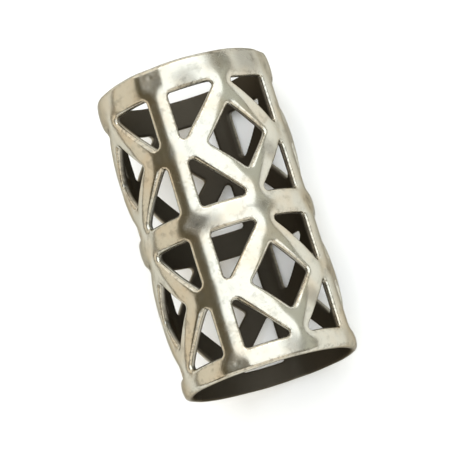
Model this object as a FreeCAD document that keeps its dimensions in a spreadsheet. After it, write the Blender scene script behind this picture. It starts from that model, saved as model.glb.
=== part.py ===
import FreeCAD, Part
import Sketcher
import os

# Hair cuff bead: one pierced metal ring, lying on its side along Y.
# A cell is one square of the pattern: a diamond window with a triangle in each corner.
# Posts part the columns of cells. They are flat outside, so the ring lies on one of them.

OUTPUT = "parts"
RING_AXIS = FreeCAD.Vector(0, 1, 0)

# How a sketch names its own origin and the ends of a line
ORIGIN_POINT = (-1, 1)
START = 1
END = 2

# Driving dimensions, in millimetres unless the note says otherwise
SIZES = (
    ("outer_diameter", 10.0, "outside of the ring"),
    ("wall", 0.5, "thickness of the metal"),
    ("columns", 4, "cells round the ring, a count"),
    ("rows", 2, "cells along the ring, a count"),
    ("far_rim", 1.65, "rim at the +Y end, along the ring"),
    ("near_rim", 1.15, "rim at the -Y end, along the ring"),
    ("belt", 1.45, "band between the rows, along the ring"),
    ("cell_length", 6.6, "clear length of a cell, from rim to belt"),
    ("post_width", 1.5, "post between two columns, along the outside"),
    ("diamond_width", 3.5, "diamond window, corner to corner round the ring"),
    ("diamond_length", 3.8, "diamond window, corner to corner along the ring"),
    ("diamond_bar", 1.25, "width of the bars that frame the diamond"),
    ("corner_round", 0.2, "radius in the corners of the windows"),
    ("rim_round", 0.2, "radius on the outer edge of each rim"),
)

# Sizes that follow from the driving ones; angles are in degrees
WORKED_OUT = (
    ("outer_radius", "=outer_diameter / 2", "outside of the ring"),
    ("ring_length", "=far_rim + near_rim + belt + rows * cell_length", "rim to rim"),
    ("row_pitch", "=cell_length + belt", "from cell to cell along the ring"),
    ("near_cell", "=near_rim + cell_length / 2 - ring_length / 2", "middle of the first row"),
    ("column_turn", "=180 / columns", "from a post to the middle of a column"),
    ("arc_degrees", "=180 / (pi * outer_radius)", "turn for each mm along the outside"),
    ("post_turn", "=post_width / 2 * arc_degrees", "half a post"),
    ("flat_height", "=outer_radius * cos(post_turn)", "from the axis to the flat face of a post"),
    ("diamond_turn", "=diamond_width / 2 * arc_degrees", "half a diamond window"),
    ("frame_growth", "=1 + diamond_bar * sqrt(1 / pow(diamond_width / 2; 2) + 1 / pow(diamond_length / 2; 2))",
     "size of the diamond frame against its window"),
    ("frame_turn", "=diamond_turn * frame_growth", "half the diamond frame"),
    ("frame_reach", "=diamond_length / 2 * frame_growth", "half the diamond frame along the ring"),
    ("tip_turn", "=frame_turn * (1 - cell_length / 2 / frame_reach)", "triangle's tip from mid column"),
    ("tip_reach", "=frame_reach * (1 - (column_turn - post_turn) / frame_turn)", "tip from mid cell"),
    ("triangle_turn", "=(post_turn + column_turn - tip_turn) / 2", "middle of a triangle"),
)


def make_sheet(doc):
    """Spreadsheet with one row for each size: its name, its value and what it is."""
    sheet = doc.addObject("Spreadsheet::Sheet", "Sizes")
    for row, (alias, value, note) in enumerate(SIZES + WORKED_OUT, start=1):
        sheet.set(f"A{row}", alias)
        sheet.set(f"B{row}", str(value))
        sheet.set(f"C{row}", note)
        sheet.setAlias(f"B{row}", alias)
    doc.recompute()


def origin_feature(body, role):
    """A plane or axis of the body's own origin, such as XY_Plane or Y_Axis."""
    return next(feature for feature in body.Origin.OriginFeatures if feature.Role == role)


def hold(sketch, kind, target, value, expression):
    """Dimension on part of a sketch, bound to an expression."""
    constraint = sketch.addConstraint(Sketcher.Constraint(kind, *target, value))
    name = f"{kind}{constraint}"
    sketch.renameConstraint(constraint, name)
    sketch.setExpression(f"Constraints.{name}", expression)


def add_outline(sketch, corners):
    """Closed outline of straight sides. Each corner has three expressions: where its two sides would
    meet, across and along the ring, and the radius that rounds it, or None where it stays sharp."""
    points = [FreeCAD.Vector(sketch.evalExpression(across), sketch.evalExpression(along), 0)
              for across, along, _ in corners]
    sides = [sketch.addGeometry(Part.LineSegment(start, end))
             for start, end in zip(points, points[1:] + points[:1])]
    for side, following in zip(sides, sides[1:] + sides[:1]):
        sketch.addConstraint(Sketcher.Constraint("Coincident", side, END, following, START))
    for side, point, (across, along, _) in zip(sides, points, corners):
        hold(sketch, "DistanceX", (*ORIGIN_POINT, side, START), point.x, across)
        hold(sketch, "DistanceY", (*ORIGIN_POINT, side, START), point.y, along)
    for side, (_, _, rounding) in zip(sides, corners):
        if rounding:
            arc = sketch.GeometryCount
            radius = sketch.evalExpression(rounding)
            sketch.fillet(side, START, radius, True, True)
            hold(sketch, "Radius", (arc,), radius, rounding)


def make_tube(body):
    """The ring before it is pierced: a section of its wall, rounded at the rims, turned about Y."""
    inside = "Sizes.outer_radius - Sizes.wall"
    outside = "Sizes.outer_radius"
    near = "-Sizes.ring_length / 2"
    far = "Sizes.ring_length / 2"
    sketch = body.newObject("Sketcher::SketchObject", "WallSection")
    sketch.AttachmentSupport = [(origin_feature(body, "XY_Plane"), "")]
    sketch.MapMode = "FlatFace"
    add_outline(sketch, (
        (inside, near, None),
        (outside, near, "Sizes.rim_round"),
        (outside, far, "Sizes.rim_round"),
        (inside, far, None),
    ))
    tube = body.newObject("PartDesign::Revolution", "Tube")
    tube.Profile = sketch
    tube.ReferenceAxis = (origin_feature(body, "Y_Axis"), [""])
    tube.Angle = 360


def make_flats(body):
    """The flat face of each post, cut from rim to rim."""
    sketch = body.newObject("Sketcher::SketchObject", "FlatOutline")
    sketch.AttachmentSupport = [(origin_feature(body, "XZ_Plane"), "")]
    sketch.MapMode = "FlatFace"
    add_outline(sketch, (
        ("-Sizes.outer_radius", "Sizes.flat_height", None),
        ("Sizes.outer_radius", "Sizes.flat_height", None),
        ("Sizes.outer_radius", "Sizes.outer_diameter", None),
        ("-Sizes.outer_radius", "Sizes.outer_diameter", None),
    ))
    flat = body.newObject("PartDesign::Pocket", "Flat")
    flat.Profile = sketch
    flat.Midplane = True
    flat.setExpression("Length", "2 * Sizes.ring_length")
    flats = body.newObject("PartDesign::PolarPattern", "Flats")
    flats.Originals = [flat]
    flats.Axis = (origin_feature(body, "Y_Axis"), [""])
    flats.Angle = 360
    flats.setExpression("Occurrences", "Sizes.columns")
    body.Tip = flats


def cut_windows(body, name, turn, outlines):
    """Windows of one cell, cut outwards from the middle of the ring; turn is the angle from +Z."""
    sketch = body.newObject("Sketcher::SketchObject", f"{name}Outline")
    sketch.AttachmentSupport = [(origin_feature(body, "XY_Plane"), "")]
    sketch.MapMode = "FlatFace"
    sketch.AttachmentOffset = FreeCAD.Placement(FreeCAD.Vector(0, 0, 0), FreeCAD.Rotation(RING_AXIS, 1))
    sketch.setExpression("AttachmentOffset.Rotation.Angle", turn)
    for corners in outlines:
        add_outline(sketch, [(*corner, "Sizes.corner_round") for corner in corners])
    pocket = body.newObject("PartDesign::Pocket", name)
    pocket.Profile = sketch
    pocket.Reversed = True
    pocket.setExpression("Length", "Sizes.outer_diameter")
    return pocket


def repeat_windows(body, pocket, mirrored):
    """The pocket in every row and column, and also across the posts where mirrored."""
    repeat = body.newObject("PartDesign::MultiTransform", f"{pocket.Name}Repeat")
    repeat.Originals = [pocket]
    rows = body.newObject("PartDesign::LinearPattern", f"{pocket.Name}Rows")
    rows.Direction = (origin_feature(body, "Y_Axis"), [""])
    rows.setExpression("Length", "Sizes.row_pitch * (Sizes.rows - 1)")
    rows.setExpression("Occurrences", "Sizes.rows")
    columns = body.newObject("PartDesign::PolarPattern", f"{pocket.Name}Columns")
    columns.Axis = (origin_feature(body, "Y_Axis"), [""])
    columns.Angle = 360
    columns.setExpression("Occurrences", "Sizes.columns")
    steps = [rows, columns]
    if mirrored:
        mirror = body.newObject("PartDesign::Mirrored", f"{pocket.Name}Mirror")
        mirror.MirrorPlane = (origin_feature(body, "YZ_Plane"), [""])
        steps.insert(1, mirror)
    repeat.Transformations = steps
    body.Tip = repeat


def make_diamonds(body):
    """The diamond windows, one in the middle of each cell."""
    half_width = "Sizes.outer_radius * sin(Sizes.diamond_turn)"
    half_length = "Sizes.diamond_length / 2"
    middle = "Sizes.near_cell"
    corners = (
        (half_width, middle),
        ("0", f"{middle} + {half_length}"),
        (f"-{half_width}", middle),
        ("0", f"{middle} - {half_length}"),
    )
    pocket = cut_windows(body, "Diamond", "Sizes.column_turn", [corners])
    repeat_windows(body, pocket, mirrored=False)


def make_triangles(body):
    """The triangle windows in the corners of each cell, drawn beside the post at the top."""
    post_side = "Sizes.outer_radius * sin(Sizes.post_turn - Sizes.triangle_turn)"
    tip_side = "Sizes.outer_radius * sin(Sizes.column_turn - Sizes.tip_turn - Sizes.triangle_turn)"
    outlines = []
    for away in ("+", "-"):
        band = f"Sizes.near_cell {away} Sizes.cell_length / 2"
        tip = f"Sizes.near_cell {away} Sizes.tip_reach"
        outlines.append(((post_side, band), (tip_side, band), (post_side, tip)))
    pocket = cut_windows(body, "Triangle", "Sizes.triangle_turn", outlines)
    repeat_windows(body, pocket, mirrored=True)


def make_cuff(doc):
    """The one piece of metal, lying on Z = 0 with the middle of its length over the origin."""
    body = doc.addObject("PartDesign::Body", "Cuff")
    body.Label = "cuff"
    body.setExpression("Placement.Base.z", "Sizes.flat_height")
    make_tube(body)
    make_flats(body)
    make_diamonds(body)
    make_triangles(body)
    return body


def check(doc, parts):
    """Stop on anything that failed quietly."""
    for item in doc.Objects:
        if "Invalid" in item.State or "Error" in item.State:
            raise RuntimeError(f"{item.Name}: {item.State}")
    for part in parts:
        if part.Shape.isNull() or not part.Shape.isValid() or len(part.Shape.Solids) != 1:
            raise RuntimeError(f"{part.Label}: not one valid solid")


def main():
    doc = FreeCAD.newDocument("HairCuffBead")
    make_sheet(doc)
    parts = [make_cuff(doc)]
    doc.recompute()
    check(doc, parts)
    os.makedirs(OUTPUT, exist_ok=True)
    for part in parts:
        part.Shape.exportStep(f"{OUTPUT}/{part.Label}.step")
        print(f"{part.Label}: {part.Shape.Volume:.2f} mm3")


main()
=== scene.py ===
import math

import bmesh
import bpy
import numpy as np
from mathutils import Matrix, Vector, geometry, noise


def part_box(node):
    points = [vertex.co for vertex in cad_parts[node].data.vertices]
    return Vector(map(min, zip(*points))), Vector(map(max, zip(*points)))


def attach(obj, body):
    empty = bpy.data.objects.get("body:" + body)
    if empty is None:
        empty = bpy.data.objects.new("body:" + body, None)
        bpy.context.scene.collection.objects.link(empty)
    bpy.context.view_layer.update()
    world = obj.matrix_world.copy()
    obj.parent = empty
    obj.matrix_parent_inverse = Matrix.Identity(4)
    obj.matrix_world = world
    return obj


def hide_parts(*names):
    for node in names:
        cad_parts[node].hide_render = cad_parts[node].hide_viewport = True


bl_info = {
    "name": "Hair Cuff Bead",
    "version": (1, 0, 0),
    "blender": (4, 5, 0),
    "location": "3D View > Sidebar > Hair Cuff",
    "description": "Pierced metal hair cuff, and the stage that it is shown on",
    "category": "Object",
}

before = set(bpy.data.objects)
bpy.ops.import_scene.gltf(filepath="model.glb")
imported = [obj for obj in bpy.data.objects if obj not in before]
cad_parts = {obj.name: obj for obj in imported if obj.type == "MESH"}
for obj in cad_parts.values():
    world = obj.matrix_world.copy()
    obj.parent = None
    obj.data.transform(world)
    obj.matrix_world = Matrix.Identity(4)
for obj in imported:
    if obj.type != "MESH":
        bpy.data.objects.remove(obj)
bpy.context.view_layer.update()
CUFF_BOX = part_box("cuff")

MM = 0.001

# The ring as the frame gives it: it lies along Y, on the flat face of one of its posts
FLAT_HEIGHT = (CUFF_BOX[1][0] - CUFF_BOX[0][0]) / 2 / MM
RING_LENGTH = (CUFF_BOX[1][1] - CUFF_BOX[0][1]) / MM
RING_MIDDLE = Vector((CUFF_BOX[0][i] + CUFF_BOX[1][i]) / 2 for i in range(3))
RING_AXIS = Vector((0, 1, 0))

# Radius of the outside of the ring, away from the flats, in mm
RING_RADIUS = 5.0


def length(name, description, default):
    """Size that a user may change, kept in metres and given here in millimetres."""
    return bpy.props.FloatProperty(name=name, description=description, default=default * MM,
                                   min=0.0, precision=5, subtype="DISTANCE", unit="LENGTH")


def share(name, description, default):
    """Number from 0 to 1."""
    return bpy.props.FloatProperty(name=name, description=description, default=default,
                                   min=0.0, max=1.0, subtype="FACTOR")


def colour(name, description, default):
    """Colour, as linear red, green and blue."""
    return bpy.props.FloatVectorProperty(name=name, description=description, default=default,
                                         size=3, min=0.0, max=1.0, subtype="COLOR")


def angle(name, description, default):
    """Angle, kept in radians and given here in degrees."""
    return bpy.props.FloatProperty(name=name, description=description,
                                   default=math.radians(default), subtype="ANGLE", unit="ROTATION")


class CuffSizes(bpy.types.PropertyGroup):
    """Sizes of the pierced wall, measured on the outside of the ring."""
    columns: bpy.props.IntProperty(name="Columns", description="Cells round the ring",
                                   default=4, min=3)
    radius: length("Radius", "Outside of the ring", RING_RADIUS)
    wall: length("Wall", "Thickness of the metal", 0.5)
    far_rim: length("Far rim", "Wide rim, at the +Y end", 1.65)
    near_rim: length("Near rim", "Narrow rim, at the -Y end", 1.15)
    belt: length("Belt", "Band between the two rows of cells", 1.45)
    post: length("Post", "Bar between two columns of cells", 1.5)
    diamond_width: length("Diamond width", "Diamond window, round the ring", 3.5)
    diamond_length: length("Diamond length", "Diamond window, along the ring", 3.8)
    diamond_bar: length("Diamond bar", "Width of the bars that frame a diamond", 1.25)
    corner: length("Window corner", "Radius in the corners of the windows", 0.2)
    shoulder: length("Shoulder", "Width of the worn shoulder along each outer edge", 0.21)
    drop: length("Drop", "How far that shoulder falls", 0.18)
    inner_edge: length("Inner edge", "Radius on the inner edges of the wall", 0.1)
    crown: length("Crown", "How far the middle of a bar stands above its shoulders", 0.1)
    waver: length("Waver", "Depth of the gentle unevenness left by casting", 0.034)


class CuffFinish(bpy.types.PropertyGroup):
    """Colours and polish of the metal."""
    silver: colour("Silver", "Polished metal", (0.53, 0.51, 0.435))
    warm: colour("Warm silver", "Metal where the polish has yellowed", (0.53, 0.475, 0.375))
    # The tarnish colour is also the painted shade that darkens the inside of the ring and the walls
    # of the windows
    tarnish_and_shade: colour("Tarnish", "Dull film in the windows and on the inside", (0.045, 0.037, 0.026))
    polish: share("Polished roughness", "Roughness where the metal is bright", 0.15)
    dull: share("Dull roughness", "Roughness where it is tarnished", 0.5)


class StageLook(bpy.types.PropertyGroup):
    """Floor, light of the room and camera."""
    floor: colour("Floor", "Pale floor", (0.93, 0.93, 0.92))
    room: colour("Room", "Light from all round", (0.142, 0.116, 0.066))
    lean: angle("Lean", "Camera's turn about the ring from straight above, towards +X", 19.0)
    tip: angle("Tip", "Camera's lean towards the near rim", 11.0)
    tilt: angle("Tilt", "Turn of the ring in the picture, anticlockwise", 17.2)
    distance: length("Distance", "From the camera to the middle of the ring", 150.0)
    field: length("Field", "Width of the picture at the ring", 25.0)


# Spacing of the mesh's points in mm: over the outside, over the inside and along the windows
FACE_STEP = 0.2
LINING_STEP = 0.36
EDGE_STEP = 0.17

# Steps round a window's corner, down a worn shoulder and round an inner edge
CORNER_STEPS = 4
SHOULDER_STEPS = 5
INNER_STEPS = 3

# A guard row of points runs beside each edge, this many mm into the face, and ends the shading of
# the edge. The face's own points stay clear of it by a share of their spacing.
GUARD = 0.05
FIELD_GAP = 0.55

# Slack, in mm: where a face's points are measured, where its outlines are joined, and where one
# column of cells is welded to the next
MARGIN_SLACK = 0.001
OUTLINE_SLACK = 1e-7
WELD_SLACK = 0.002

# Crown of a bar, in mm: how far in from an edge it rises, how soft the crease is where a diamond
# joins a post, and how far from a band or a rim that crease starts to fade
CROWN_REACH = 0.72
CREASE_SOFTNESS = 0.12
CREASE_FADE = 0.6

# Unevenness of the cast metal: the features of each noise for each mm, where in it the ring starts,
# and how much it sinks the metal. The drift moves points round the ring and along it.
DRIFT_SCALE = 0.45
SWERVE_START = Vector((7, 3, 5))
SLIDE_START = Vector((2, 8, 6))
BROAD_SCALE = 0.6
BROAD_SINK = 0.35
FINE_SCALE = 1.5
FINE_START = Vector((4, 9, 2))
FINE_SINK = 0.15


def convex_distance(points, corners):
    """Distance of each point from a convex outline given anticlockwise, 0 inside it."""
    nearest = np.full(len(points), np.inf)
    inside = np.full(len(points), True)
    for start, end in zip(corners, np.roll(corners, -1, axis=0)):
        side = end - start
        away = points - start
        along = np.clip(away @ side / (side @ side), 0, 1)
        nearest = np.minimum(nearest, np.linalg.norm(away - along[:, None] * side, axis=1))
        inside &= side[0] * away[:, 1] - side[1] * away[:, 0] >= 0
    return np.where(inside, 0, nearest)


class Window:
    """Window cut straight through the wall towards the ring's axis. Its outline is flat, in mm
    across and along the ring; turn is the angle of its middle from the middle of the column."""

    def __init__(self, turn, corners, radius):
        self.turn = turn
        self.radius = radius
        sides = np.roll(corners, -1, axis=0) - corners
        sides /= np.linalg.norm(sides, axis=1)[:, None]
        outward = np.stack((sides[:, 1], -sides[:, 0]), axis=1)
        before = np.roll(outward, 1, axis=0)
        spread = (before + outward) / (1 + np.sum(before * outward, axis=1))[:, None]
        self.core = corners - radius * spread
        roots = []
        ways = []
        for i, centre in enumerate(self.core):
            sweep = math.acos(before[i] @ outward[i])
            for part in np.linspace(0, 1, CORNER_STEPS + 1):
                way = before[i] * math.sin((1 - part) * sweep) + outward[i] * math.sin(part * sweep)
                roots.append(centre)
                ways.append(way / math.sin(sweep))
            following = self.core[(i + 1) % len(corners)]
            steps = max(1, round(np.linalg.norm(following - centre) / EDGE_STEP))
            for part in np.arange(1, steps) / steps:
                roots.append(centre * (1 - part) + following * part)
                ways.append(outward[i])
        self.roots = np.array(roots)
        self.ways = np.array(ways)

    def loop(self, offset):
        """Points outside the window at this distance from its edge, across and along the ring."""
        return (self.roots + self.ways * (self.radius + offset)).T

    def clearance(self, turn, along, radius):
        """Distance from the window's edge of points of the ring."""
        across = radius * np.sin(turn - self.turn)
        behind = np.abs(turn - self.turn) > math.pi / 2
        distance = convex_distance(np.stack((across, along), axis=1), self.core) - self.radius
        return np.where(behind, np.inf, distance)


class Column:
    """One column of cells, from the middle of a post to the middle of the next, as points and
    faces. A point is its turn from the middle of the column, its place along the ring and its
    radius. All lengths are in mm."""

    def __init__(self, sizes):
        self.points = []
        self.faces = []
        self.count = sizes.columns
        self.half_turn = math.pi / sizes.columns
        self.radius = sizes.radius / MM
        self.inside = (sizes.radius - sizes.wall) / MM
        self.shoulder = sizes.shoulder / MM
        self.drop = sizes.drop / MM
        self.inner_edge = sizes.inner_edge / MM
        self.crown = sizes.crown / MM
        self.end = RING_LENGTH / 2
        self.half_post = sizes.post / MM / 2
        near_rim, far_rim, belt = sizes.near_rim / MM, sizes.far_rim / MM, sizes.belt / MM
        self.half_cell = (RING_LENGTH - near_rim - far_rim - belt) / 4
        first = near_rim + self.half_cell - self.end
        self.cells = (first, first + 2 * self.half_cell + belt)
        self.windows = self.make_windows(sizes)

    def make_windows(self, sizes):
        """The diamonds and triangles of the column's two cells."""
        half_width = sizes.diamond_width / MM / 2
        half_length = sizes.diamond_length / MM / 2
        post = self.half_turn - self.half_post / self.radius
        growth = 1 + sizes.diamond_bar / MM * math.hypot(1 / half_width, 1 / half_length)
        frame_turn = half_width * growth / self.radius
        frame_reach = half_length * growth
        tip_turn = frame_turn * (1 - self.half_cell / frame_reach)
        tip_reach = frame_reach * (1 - post / frame_turn)
        middle = (post + tip_turn) / 2
        half_triangle = self.radius * math.sin((post - tip_turn) / 2)
        half_diamond = self.radius * math.sin(half_width / self.radius)
        radius = sizes.corner / MM
        windows = []
        for cell in self.cells:
            corners = ((half_diamond, cell), (0, cell + half_length),
                       (-half_diamond, cell), (0, cell - half_length))
            windows.append(Window(0, np.array(corners, dtype=float), radius))
            for side in (1, -1):
                for away in (1, -1):
                    corners = [(side * half_triangle, cell + away * self.half_cell),
                               (-side * half_triangle, cell + away * self.half_cell),
                               (side * half_triangle, cell + away * tip_reach)]
                    if side * away < 0:
                        corners.reverse()
                    windows.append(Window(side * middle, np.array(corners), radius))
        return windows

    def face_radius(self, turn):
        """Radius of the outside before it is worn: round, but flat along the posts."""
        return np.minimum(self.radius, FLAT_HEIGHT / np.cos(self.half_turn - np.abs(turn)))

    def clearance(self, turn, along, radius):
        """Distance of points of the ring from the nearest edge, of a window or of a rim."""
        nearest = self.end - np.abs(along)
        for window in self.windows:
            nearest = np.minimum(nearest, window.clearance(turn, along, radius))
        return nearest

    def crowned(self, turn, along):
        """Radius of the outside, a little higher along the middle of each bar. A post keeps its own
        crown past the diamonds that join it, with a soft crease where they meet."""
        edge = np.maximum(self.clearance(turn, along, self.radius), 0)
        crease = np.abs(self.radius * (self.half_turn - np.abs(turn)) - self.half_post)
        from_middle = np.min([np.abs(along - middle) for middle in self.cells], axis=0)
        fade = np.clip((self.half_cell - from_middle) / CREASE_FADE, 0, 1)
        fall = (1 - np.minimum(edge / CROWN_REACH, 1)) ** 2
        dip = (1 - np.minimum(np.hypot(crease, CREASE_SOFTNESS) / CROWN_REACH, 1)) ** 2 * fade
        return self.face_radius(turn) - self.crown * np.maximum(fall, dip)

    def lining_radius(self, turn, along):
        """Radius of the inside, which is round."""
        return np.full(len(turn), self.inside)

    def add_points(self, turn, along, radius):
        """Adds points, and gives their numbers."""
        start = len(self.points)
        self.points.extend(zip(turn, along, radius))
        return np.arange(start, len(self.points))

    def section(self):
        """Section of an edge as steps of (distance from the opening, fall from the outside, rise
        from the inside): down the worn shoulder, and along the inner edge. One of the last two is
        None."""
        steps = [(self.shoulder + GUARD, 0, None)]
        for part in np.linspace(0, math.pi / 2, SHOULDER_STEPS + 1):
            away = self.shoulder * (1 - math.sin(part))
            steps.append((away, self.drop * (1 - math.cos(part)), None))
        for part in np.linspace(0, math.pi / 2, INNER_STEPS + 1):
            away = self.inner_edge * (1 - math.cos(part))
            steps.append((away, None, self.inner_edge * (1 - math.sin(part))))
        steps.append((self.inner_edge + GUARD, None, 0))
        return steps

    def edge_radius(self, turn, along, fall, rise):
        """Radius of one row of points of an edge."""
        if rise is None:
            return self.crowned(turn, along) - fall
        return np.full(len(turn), self.inside + rise)

    def edge_window(self, window):
        """Rows of points round a window, from the outside to the inside, with their faces."""
        rows = []
        for offset, fall, rise in self.section():
            across, along = window.loop(offset)
            turn = window.turn + np.arcsin(across / self.radius)
            radius = self.edge_radius(turn, along, fall, rise)
            rows.append(self.add_points(window.turn + np.arcsin(across / radius), along, radius))
        self.join_rows([np.append(row, row[0]) for row in rows])
        return rows

    def edge_rim(self, side):
        """Rows of points along a rim; side is 1 for the far rim and -1 for the near one."""
        count = 2 * round(self.half_turn * self.radius / FACE_STEP)
        turn = np.linspace(-self.half_turn, self.half_turn, count + 1)
        rows = []
        for offset, fall, rise in self.section():
            along = np.full(count + 1, side * (self.end - offset))
            rows.append(self.add_points(turn, along, self.edge_radius(turn, along, fall, rise)))
        self.join_rows(rows)
        return rows

    def join_rows(self, rows):
        """Quads from row to row. The guard rows at the two ends are left to the faces there."""
        for first, second in zip(rows[1:-2], rows[2:-1]):
            self.faces.extend(zip(first[:-1], first[1:], second[1:], second[:-1]))

    def add_field(self, radius_of, radius, step, margin):
        """Staggered points over a face, clear of its edges by the margin."""
        low = margin - self.end
        rows = 2 * round((self.end - margin) / (step * math.sqrt(0.75))) + 1
        count = 2 * round(self.half_turn * radius / step)
        pitch = 2 * self.half_turn / count
        turns = []
        alongs = []
        for i in range(rows):
            turn = np.arange(count + 1 - i % 2) * pitch + i % 2 * pitch / 2 - self.half_turn
            turns.append(turn)
            alongs.append(np.full(len(turn), low - 2 * low * i / (rows - 1)))
        turn = np.concatenate(turns)
        along = np.concatenate(alongs)
        clear = self.clearance(turn, along, radius) > margin - MARGIN_SLACK
        turn = turn[clear]
        along = along[clear]
        return self.add_points(turn, along, radius_of(turn, along))

    def fill(self, radius, loops, lines, loose):
        """Triangles over a face, between the loops round its windows and the lines along its rims.
        The loose rows give only their points."""
        numbers = np.concatenate([*loops, *lines, *loose])
        place = {number: i for i, number in enumerate(numbers)}
        flat = [Vector((self.points[i][0] * radius, self.points[i][1])) for i in numbers]
        edges = []
        ring_of = {}
        for i, loop in enumerate(loops):
            edges.extend((place[a], place[b]) for a, b in zip(loop, np.roll(loop, -1)))
            ring_of.update((place[number], i) for number in loop)
        for line in lines:
            edges.extend((place[a], place[b]) for a, b in zip(line[:-1], line[1:]))
        _, _, faces, origins, _, _ = geometry.delaunay_2d_cdt(flat, edges, [], 0, OUTLINE_SLACK)
        if len(origins) != len(flat):
            raise RuntimeError("two edges cross: make the bars wider or the edges smaller")
        for face in faces:
            corners = [origins[i][0] for i in face]
            rings = {ring_of.get(i) for i in corners}
            if rings == {None} or len(rings) > 1:
                self.faces.append(tuple(numbers[i] for i in corners))

    def build(self):
        """Makes every point and face of the column."""
        window_rows = [self.edge_window(window) for window in self.windows]
        rim_rows = [self.edge_rim(side) for side in (-1, 1)]
        outside = (1, 0, self.radius, FACE_STEP, self.shoulder, self.crowned)
        inside = (-2, -1, self.inside, LINING_STEP, self.inner_edge, self.lining_radius)
        for face, guard, radius, step, start, radius_of in (outside, inside):
            field = self.add_field(radius_of, radius, step, start + GUARD + FIELD_GAP * step)
            loops = [rows[face] for rows in window_rows]
            lines = [rows[i] for rows in rim_rows for i in (face, guard)]
            guards = [rows[guard] for rows in window_rows]
            self.fill(radius, loops, lines, [*guards, field])


def cuff_mesh(sizes):
    """Mesh of the whole pierced ring, in metres, on the place that the frame gives it."""
    column = Column(sizes)
    column.build()
    turn, along, radius = np.array(column.points).T
    edge = column.clearance(turn, along, column.radius)
    depth = np.clip((column.face_radius(turn) - radius) / (column.radius - column.inside), 0, 1)
    places = []
    faces = []
    for i in range(column.count):
        turned = turn + (2 * i + 1) * column.half_turn
        places.append(np.stack((radius * np.sin(turned), along, radius * np.cos(turned)), axis=1))
        faces.extend(tuple(number + i * len(turn) for number in face) for face in column.faces)
    mesh = bpy.data.meshes.new("pierced_ring")
    mesh.from_pydata(np.concatenate(places), [], faces)
    for name, values in (("edge", edge), ("depth", depth)):
        layer = mesh.attributes.new(name, "FLOAT", "POINT")
        layer.data.foreach_set("value", np.tile(values, column.count).astype(np.float32))
    shape = bmesh.new()
    shape.from_mesh(mesh)
    bmesh.ops.remove_doubles(shape, verts=shape.verts, dist=WELD_SLACK)
    unused = [vert for vert in shape.verts if not vert.link_faces]
    bmesh.ops.delete(shape, geom=unused, context="VERTS")
    bmesh.ops.recalc_face_normals(shape, faces=shape.faces)
    if any(not line.is_manifold for line in shape.edges):
        raise RuntimeError("the pierced ring isn't closed")
    waver = sizes.waver / MM
    for vert in shape.verts:
        vert.co = weathered(vert.co, waver) * MM + RING_MIDDLE
    for face in shape.faces:
        face.smooth = True
    shape.to_mesh(mesh)
    shape.free()
    return mesh


def weathered(point, waver):
    """The point, moved a little along the surface and sunk a little, as in cast and worn metal."""
    radius = math.hypot(point.x, point.z)
    turn = math.atan2(point.x, point.z)
    swerve = waver * noise.noise(point * DRIFT_SCALE + SWERVE_START)
    slide = waver * noise.noise(point * DRIFT_SCALE + SLIDE_START)
    broad = BROAD_SINK * noise.noise(point * BROAD_SCALE)
    fine = FINE_SINK * noise.noise(point * FINE_SCALE + FINE_START)
    radius -= waver * min(max(0.5 - broad - fine, 0), 1)
    turn += swerve / radius
    along = point.y * (1 - 2 * waver / RING_LENGTH) + slide
    return Vector((radius * math.sin(turn), along, radius * math.cos(turn)))


# How the metal reflects at a glancing angle, against how it does face on
EDGE_TINT = (0.42, 0.39, 0.34)

# Noises in the metal: features for each mm, and what else differs from a plain noise
CLOUD = {"scale": 0.55, "detail": 3.0}
SMEAR = {"scale": 1.5, "detail": 4.0, "distortion": 0.3}
SPECK = {"scale": 5.0, "detail": 3.0, "roughness": 0.6}
PITTING = {"scale": 14.0}

# Two sets of scratches: how far each rises for each mm round the ring, how many lines for each mm,
# and the part of the noise that is drawn. The last number is their scale round the ring.
RISING_SCRATCHES = (1.1, 11.0, 0.66, 0.72)
FALLING_SCRATCHES = (-0.6, 9.0, 0.68, 0.74)
SCRATCH_SCALE = 0.5

# Where each look of the metal starts and is full. The edge is the distance from the nearest edge in
# mm, the depth runs from 0 on the outside to 1 on the inside, and the rest are parts of a noise.
YELLOWED_CLOUD = (0.4, 0.66)
WORN_EDGE = (0.05, 0.4)
# The deep wall is where the painted shade of the inside starts and where it is full
DEEP_WALL = (0.3, 0.95)
JOINT_EDGE = (0.62, 0.95)
JOINT_SMEAR = (0.42, 0.62)
GRIME_START = (0.0, 0.06)
GRIME_END = (0.1, 0.32)
GRIME_SPECK = (0.46, 0.6)
SPOT_SMEAR = (0.55, 0.72)
DARK_SPECK = (0.55, 0.8)

# Brown patches that paint dark reflections of the surroundings onto the metal: turn from the top
# post in degrees, place along the ring and radius in mm
PAINTED_REFLECTIONS = ((46, 8.3, 1.1), (69, 8.0, 1.3), (22, 7.4, 1.0), (64, 2.7, 0.9), (3, -0.3, 0.9),
          (12, -0.5, 0.9), (46, -0.4, 0.7), (62, -5.8, 0.9), (38, -8.1, 1.0))

# A painted reflection patch is full up to one part of its radius and ends at another; the smear
# breaks its outline
REFLECTION_START = 0.6
REFLECTION_END = 1.4
REFLECTION_SMEAR = 0.8

# How much of the dark film each look brings, and how much of the spots a worn edge takes away. The
# deep share is painted shade, which makes the inside and the window walls near black.
JOINT_FILM = 0.3
GRIME_FILM = 0.3
SPOT_FILM = 0.22
SPECK_FILM = 0.12
# The brown patches of this film are painted dark reflections
REFLECTION_FILM = 0.4
DEEP_SHADE = 0.97
SPOT_WEAR = 0.7

# What the looks add to the roughness of polished metal
MARK_ROUGHNESS = 0.2
SPECK_ROUGHNESS = 0.06
SCRATCH_ROUGHNESS = 0.05

# What the noises and the scratches do to the relief, and its strength and height in mm
SMEAR_RELIEF = 0.4
SPECK_RELIEF = 0.14
PITTING_RELIEF = 0.03
SCRATCH_RELIEF = 0.06
RELIEF_STRENGTH = 0.5
RELIEF_HEIGHT = 0.012


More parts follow.
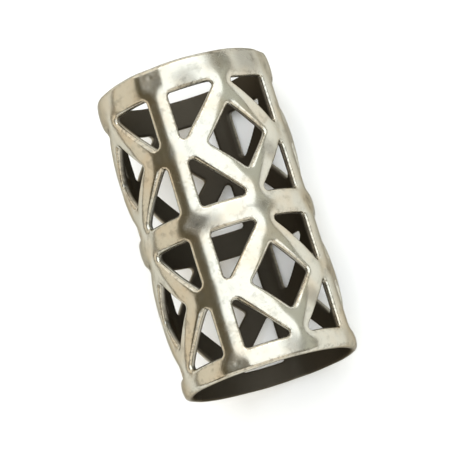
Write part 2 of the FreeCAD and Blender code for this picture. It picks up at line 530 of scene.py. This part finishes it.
class Wire:
    """A node's output. Arithmetic on it adds Math nodes."""

    def __init__(self, graph, socket):
        self.graph = graph
        self.socket = socket

    def combine(self, operation, first, second):
        """Adds the Math node for an operation."""
        sockets = {0: first, 1: second}
        return self.graph.node("ShaderNodeMath", sockets, operation=operation)["Value"]

    def __add__(self, other):
        return self.combine("ADD", self, other)

    def __sub__(self, other):
        return self.combine("SUBTRACT", self, other)

    def __rsub__(self, other):
        return self.combine("SUBTRACT", other, self)

    def __mul__(self, other):
        return self.combine("MULTIPLY", self, other)

    __radd__ = __add__
    __rmul__ = __mul__

    def above(self, low, high):
        """0 where this is below low, 1 where it is above high, and smooth between."""
        limits = {"Value": self, "From Min": low, "From Max": high}
        return self.graph.node("ShaderNodeMapRange", limits, interpolation_type="SMOOTHSTEP",
                               clamp=True)["Result"]

    def mix(self, first, second):
        """Colour that goes from the first to the second as this goes from 0 to 1."""
        sockets = {"Factor_Float": self, "A_Color": first, "B_Color": second}
        return self.graph.node("ShaderNodeMix", sockets, data_type="RGBA",
                               clamp_factor=True)["Result_Color"]


class Graph:
    """Nodes of a material or of the world."""

    def __init__(self, owner):
        owner.use_nodes = True
        self.tree = owner.node_tree
        self.tree.nodes.clear()

    def node(self, kind, sockets=None, **settings):
        """Adds a node with its settings, then the values or wires of its inputs, by name or number.
        Gives its outputs by name."""
        made = self.tree.nodes.new(kind)
        for name, value in settings.items():
            setattr(made, name, value)
        names = {socket.identifier: socket for socket in made.inputs}
        for key, value in (sockets or {}).items():
            numbered = isinstance(key, int)
            socket = made.inputs[key] if numbered else names.get(key) or made.inputs[key]
            if isinstance(value, Wire):
                self.tree.links.new(value.socket, socket)
            elif socket.type == "RGBA":
                socket.default_value = (*value, 1)
            else:
                socket.default_value = value
        return {key: Wire(self, socket) for socket in made.outputs
                for key in (socket.name, socket.identifier)}

    def stored(self, name):
        """Value stored on the mesh under this name."""
        return self.node("ShaderNodeAttribute", attribute_name=name)["Fac"]

    def grain(self, place, scale, detail=2.0, roughness=0.5, distortion=0.0):
        """Noise from 0 to 1, its features about one part in scale of a millimetre."""
        sockets = {"Vector": place, "Scale": scale, "Detail": detail, "Roughness": roughness,
                   "Distortion": distortion}
        return self.node("ShaderNodeTexNoise", sockets, noise_dimensions="3D")["Fac"]

    def scratches(self, place, slant, fineness, low, high):
        """Thin lines round the ring, which rise by the slant for each mm."""
        axes = self.node("ShaderNodeSeparateXYZ", {"Vector": place})
        turn = axes["X"].combine("ARCTAN2", axes["X"], axes["Z"] - RING_MIDDLE.z / MM)
        across = turn * RING_RADIUS
        sockets = {"X": across * SCRATCH_SCALE, "Y": (axes["Y"] - across * slant) * fineness,
                   "Z": slant}
        drawn = self.node("ShaderNodeCombineXYZ", sockets)["Vector"]
        return self.grain(drawn, 1.0, detail=1.0).above(low, high)

    def painted_reflections(self, place, smear):
        """0 on clean metal and 1 in the middle of a brown patch of painted dark reflection, with a
        smeared outline.
        """
        reflection = 0
        for turn, along, reach in PAINTED_REFLECTIONS:
            turn = math.radians(turn)
            outward = Vector((math.sin(turn), 0, math.cos(turn)))
            middle = outward * RING_RADIUS + RING_AXIS * along + RING_MIDDLE / MM
            distance = self.node("ShaderNodeVectorMath", {0: place, 1: middle},
                                 operation="DISTANCE")["Value"]
            outline = distance + smear * REFLECTION_SMEAR
            reflection = reflection + (1 - outline.above(reach * REFLECTION_START, reach * REFLECTION_END))
        return reflection


def cuff_metal(finish):
    """Cast metal, silver with a warm cast: polished on the bars, dull in the windows and inside,
    where painted shade makes it near black, and with brown patches of painted dark reflection.
    """
    material = bpy.data.materials.new("cuff_metal")
    graph = Graph(material)
    place = graph.node("ShaderNodeTexCoord")["Object"]
    place = graph.node("ShaderNodeVectorMath", {"Vector": place, "Scale": 1 / MM},
                       operation="SCALE")["Vector"]
    edge = graph.stored("edge")
    depth = graph.stored("depth")

    smear = graph.grain(place, **SMEAR)
    speck = graph.grain(place, **SPECK)
    scratch = (graph.scratches(place, *RISING_SCRATCHES)
               + graph.scratches(place, *FALLING_SCRATCHES))
    worn = 1 - edge.above(*WORN_EDGE)
    deep = depth.above(*DEEP_WALL)
    joints = edge.above(*JOINT_EDGE) * smear.above(*JOINT_SMEAR)
    grime = (1 - edge.above(*GRIME_END)) * edge.above(*GRIME_START) * speck.above(*GRIME_SPECK)
    spots = smear.above(*SPOT_SMEAR) * (1 - SPOT_WEAR * worn)
    # Marks of dirt and tarnish, together with the brown patches of painted dark reflection
    marks_and_reflections = (joints * JOINT_FILM + grime * GRIME_FILM + spots * SPOT_FILM
             + speck.above(*DARK_SPECK) * SPECK_FILM + graph.painted_reflections(place, smear) * REFLECTION_FILM)
    # On the inside and the window walls the film is painted shade, near black; elsewhere it is the
    # marks
    film_and_shade = deep * DEEP_SHADE + (1 - deep) * marks_and_reflections

    yellowed = graph.grain(place, **CLOUD).above(*YELLOWED_CLOUD)
    metal = yellowed.mix(tuple(finish.silver), tuple(finish.warm))
    metal = film_and_shade.mix(metal, tuple(finish.tarnish_and_shade))
    rough = (finish.polish + deep * (finish.dull - finish.polish) + marks_and_reflections * MARK_ROUGHNESS
             + speck * SPECK_ROUGHNESS + scratch * SCRATCH_ROUGHNESS)

    relief = (smear * SMEAR_RELIEF + speck * SPECK_RELIEF
              + graph.grain(place, **PITTING) * PITTING_RELIEF - scratch * SCRATCH_RELIEF)
    sockets = {"Strength": RELIEF_STRENGTH, "Distance": RELIEF_HEIGHT * MM, "Height": relief}
    bump = graph.node("ShaderNodeBump", sockets)["Normal"]
    sockets = {"Base Color": metal, "Metallic": 1.0, "Roughness": rough, "Normal": bump,
               "Specular Tint": EDGE_TINT}
    shader = graph.node("ShaderNodeBsdfPrincipled", sockets)["BSDF"]
    graph.node("ShaderNodeOutputMaterial", {"Surface": shader})
    return material


# Sizes of the stage in metres, and how dull the floor is
FLOOR_RADIUS = 4.0
FLOOR_ROUGHNESS = 0.7
BACKDROP_RADIUS = 0.9
SOFTBOX_DISTANCE = 1.3

# Soft lights that face the ring. Seen along the ring, each one reaches from its low to its high
# angle, in degrees from straight above towards +X. Then come its swing towards +Y in degrees, its
# depth that way in metres, how bright it looks from the ring, its colour, and whether the metal
# mirrors it.
SOFTBOXES = {
    "upper_softbox": (-15, 62, 8, 2.6, 2.15, (0.87, 0.93, 1.0), True),
    "right_softbox": (62, 86, 8, 2.6, 0.65, (0.93, 1.0, 0.97), True),
    "left_softbox": (-84, -43, 8, 2.6, 1.0, (1.0, 0.93, 0.82), True),
    "near_softbox": (-30, 40, -64, 1.2, 1.1, (1.0, 0.98, 0.94), True),
    "far_softbox": (-30, 40, 64, 1.2, 1.2, (1.0, 0.98, 0.94), True),
    "floor_light": (-30, 30, 0, 1.5, 0.3, (1.0, 0.98, 0.96), False),
}

# Camera: width of its sensor in mm, and the nearest and farthest that it sees, in metres
SENSOR_WIDTH = 36.0
NEAREST = 0.005
FARTHEST = 20.0


def floor_paint(shade):
    """Even, dull paint for the floor."""
    material = bpy.data.materials.new("floor_paint")
    graph = Graph(material)
    sockets = {"Base Color": tuple(shade), "Roughness": FLOOR_ROUGHNESS}
    shader = graph.node("ShaderNodeBsdfPrincipled", sockets)["BSDF"]
    graph.node("ShaderNodeOutputMaterial", {"Surface": shader})
    return material


def backdrop_paper():
    """Even white glow for the backdrop."""
    material = bpy.data.materials.new("backdrop_paper")
    graph = Graph(material)
    sockets = {"Color": (1.0, 1.0, 1.0), "Strength": 1.0}
    glow = graph.node("ShaderNodeEmission", sockets)["Emission"]
    graph.node("ShaderNodeOutputMaterial", {"Surface": glow})
    return material


def add_object(name, data):
    """Object in the scene's own collection."""
    made = bpy.data.objects.new(name, data)
    bpy.context.scene.collection.objects.link(made)
    return made


def add_plain_shape(name, create, material, **sizes):
    """Object with one of the plain shapes that bmesh creates."""
    mesh = bpy.data.meshes.new(name)
    shape = bmesh.new()
    create(shape, **sizes)
    shape.to_mesh(mesh)
    shape.free()
    mesh.materials.append(material)
    return add_object(name, mesh)


def aim_at_ring(made, right, up, away, distance):
    """Puts a light or camera this far out from the ring, so that it looks back at it."""
    made.location = RING_MIDDLE + away * distance
    made.rotation_euler = Matrix((right, up, away)).transposed().to_euler()


def add_softbox(name, low, high, swing, depth, radiance, tint, mirrored):
    """One of the soft lights, from its row in the table."""
    middle = math.radians((low + high) / 2)
    swing = math.radians(swing)
    away = Vector((math.sin(middle) * math.cos(swing), math.sin(swing),
                   math.cos(middle) * math.cos(swing))).normalized()
    width = 2 * SOFTBOX_DISTANCE * math.tan(math.radians(high - low) / 2)
    light = bpy.data.lights.new(name, "AREA")
    light.shape = "RECTANGLE"
    light.size = width
    light.size_y = depth
    light.color = tint
    light.energy = radiance * math.pi * width * depth
    made = add_object(name, light)
    across = RING_AXIS.cross(away).normalized()
    aim_at_ring(made, across, away.cross(across), away, SOFTBOX_DISTANCE)
    made.visible_camera = False
    made.visible_glossy = mirrored


class CUFF_OT_make_ring(bpy.types.Operator):
    """Make the pierced ring with its worn edges and its metal"""
    bl_idname = "hair_cuff.make_ring"
    bl_label = "Make Ring"

    def execute(self, context):
        ring = add_object("pierced_ring", cuff_mesh(context.scene.cuff_sizes))
        ring.data.materials.append(cuff_metal(context.scene.cuff_finish))
        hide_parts("cuff")
        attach(ring, "root")
        return {"FINISHED"}


class CUFF_OT_set_stage(bpy.types.Operator):
    """Set the floor, the lights and the camera"""
    bl_idname = "hair_cuff.set_stage"
    bl_label = "Set Stage"

    def execute(self, context):
        look = context.scene.stage_look
        self.lay_floor(look)
        self.hang_backdrop()
        self.hang_lights(context.scene, look)
        self.aim_camera(context.scene, look)
        return {"FINISHED"}

    def lay_floor(self, look):
        """Wide round floor under the ring."""
        floor = add_plain_shape("floor", bmesh.ops.create_circle, floor_paint(look.floor),
                                cap_ends=True, segments=64, radius=FLOOR_RADIUS)

    def hang_backdrop(self):
        """White dome that only the camera sees, so that low views have no dark sky."""
        backdrop = add_plain_shape("backdrop", bmesh.ops.create_uvsphere, backdrop_paper(),
                                   u_segments=48, v_segments=24, radius=BACKDROP_RADIUS)
        backdrop.visible_diffuse = False
        backdrop.visible_glossy = False
        backdrop.visible_transmission = False
        backdrop.visible_shadow = False

    def hang_lights(self, scene, look):
        """The softboxes, and an even light from all round."""
        for name, softbox in SOFTBOXES.items():
            add_softbox(name, *softbox)
        world = bpy.data.worlds.new("room")
        scene.world = world
        graph = Graph(world)
        light = graph.node("ShaderNodeBackground", {"Color": tuple(look.room), "Strength": 1.0})
        graph.node("ShaderNodeOutputWorld", {"Surface": light["Background"]})
        scene.view_settings.view_transform = "Standard"

    def aim_camera(self, scene, look):
        """Camera at the photo's angle to the ring."""
        camera = bpy.data.cameras.new("photo_camera")
        camera.sensor_width = SENSOR_WIDTH
        camera.lens = camera.sensor_width * look.distance / look.field
        camera.clip_start = NEAREST
        camera.clip_end = FARTHEST
        made = add_object("photo_camera", camera)
        away = Vector((math.sin(look.lean) * math.cos(look.tip), -math.sin(look.tip),
                       math.cos(look.lean) * math.cos(look.tip)))
        upright = (RING_AXIS - away * RING_AXIS.dot(away)).normalized()
        right = upright.cross(away)
        up = upright * math.cos(look.tilt) + right * math.sin(look.tilt)
        aim_at_ring(made, up.cross(away), up, away, look.distance)
        scene.camera = made


class CUFF_PT_tools(bpy.types.Panel):
    """Sizes, finish and stage of the hair cuff"""
    bl_label = "Hair Cuff"
    bl_idname = "CUFF_PT_tools"
    bl_space_type = "VIEW_3D"
    bl_region_type = "UI"
    bl_category = "Hair Cuff"

    def draw(self, context):
        scene = context.scene
        for group, operator in ((scene.cuff_sizes, None), (scene.cuff_finish, CUFF_OT_make_ring),
                                (scene.stage_look, CUFF_OT_set_stage)):
            box = self.layout.box()
            for name in group.__annotations__:
                box.prop(group, name)
            if operator:
                box.operator(operator.bl_idname)


GROUPS = {"cuff_sizes": CuffSizes, "cuff_finish": CuffFinish, "stage_look": StageLook}
CLASSES = (*GROUPS.values(), CUFF_OT_make_ring, CUFF_OT_set_stage, CUFF_PT_tools)


def register():
    for item in CLASSES:
        bpy.utils.register_class(item)
    for name, group in GROUPS.items():
        setattr(bpy.types.Scene, name, bpy.props.PointerProperty(type=group))


def unregister():
    for name in GROUPS:
        delattr(bpy.types.Scene, name)
    for item in reversed(CLASSES):
        bpy.utils.unregister_class(item)


def main():
    register()
    bpy.ops.hair_cuff.make_ring()
    bpy.ops.hair_cuff.set_stage()


if __name__ == "__main__":
    main()
